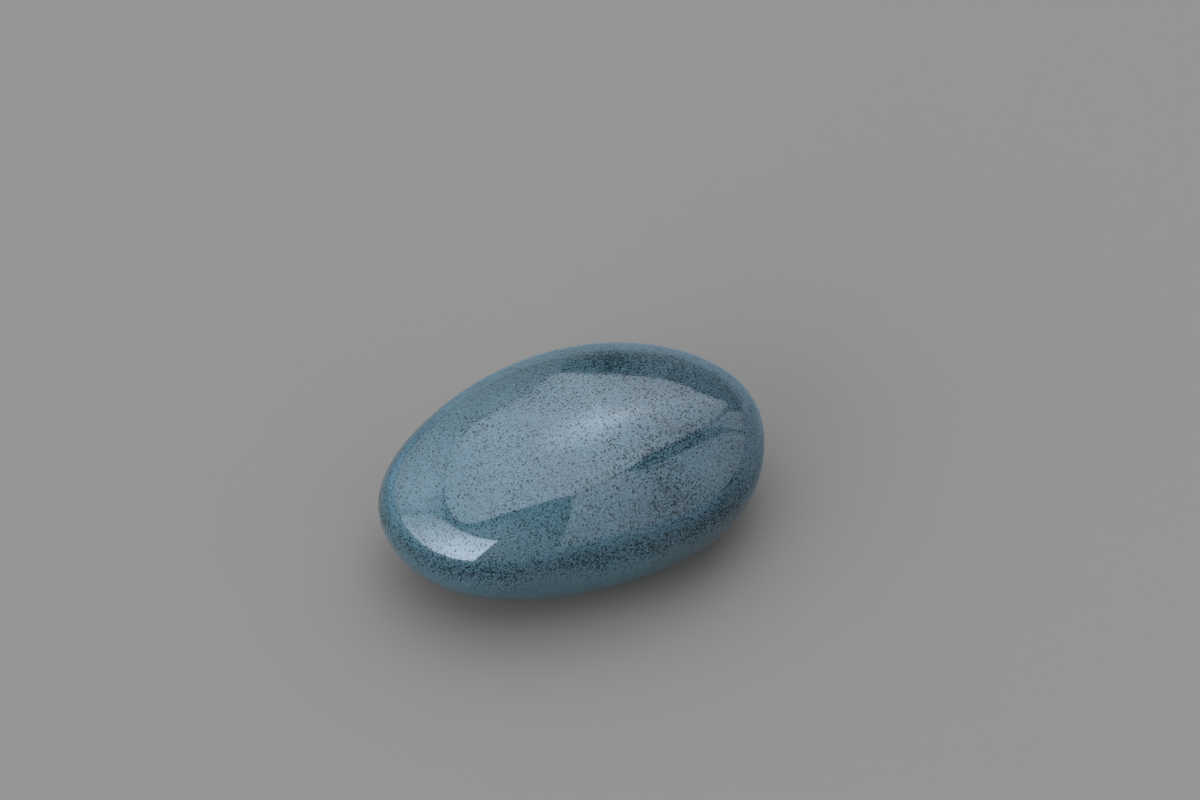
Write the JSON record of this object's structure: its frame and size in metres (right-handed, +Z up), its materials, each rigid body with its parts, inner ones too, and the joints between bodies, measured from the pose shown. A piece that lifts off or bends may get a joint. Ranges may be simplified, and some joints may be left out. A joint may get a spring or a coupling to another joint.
{
  "type": "pebble cremation urn",
  "caption": "Palm-sized pebble keepsake urn: hollow glazed ceramic body on a flat foot, filled through its base and closed by a rubber stopper.",
  "frame": {"origin": "on the plane of the foot, under the middle of the body's bounding box, which is the centre of the filling hole", "axes": "+X along the pebble towards its taller, narrower end, +Y across it, +Z up"},
  "size_m": [0.115, 0.081, 0.05],
  "materials": {
    "blue_green_glaze": "glossy speckled blue-green stoneware glaze over a bare foot",
    "dark_rubber": "matt moulded rubber"
  },
  "bodies": {
    "root": {"body": "blue_green_glaze", "stopper": "dark_rubber"}
  },
  "joints": []
}
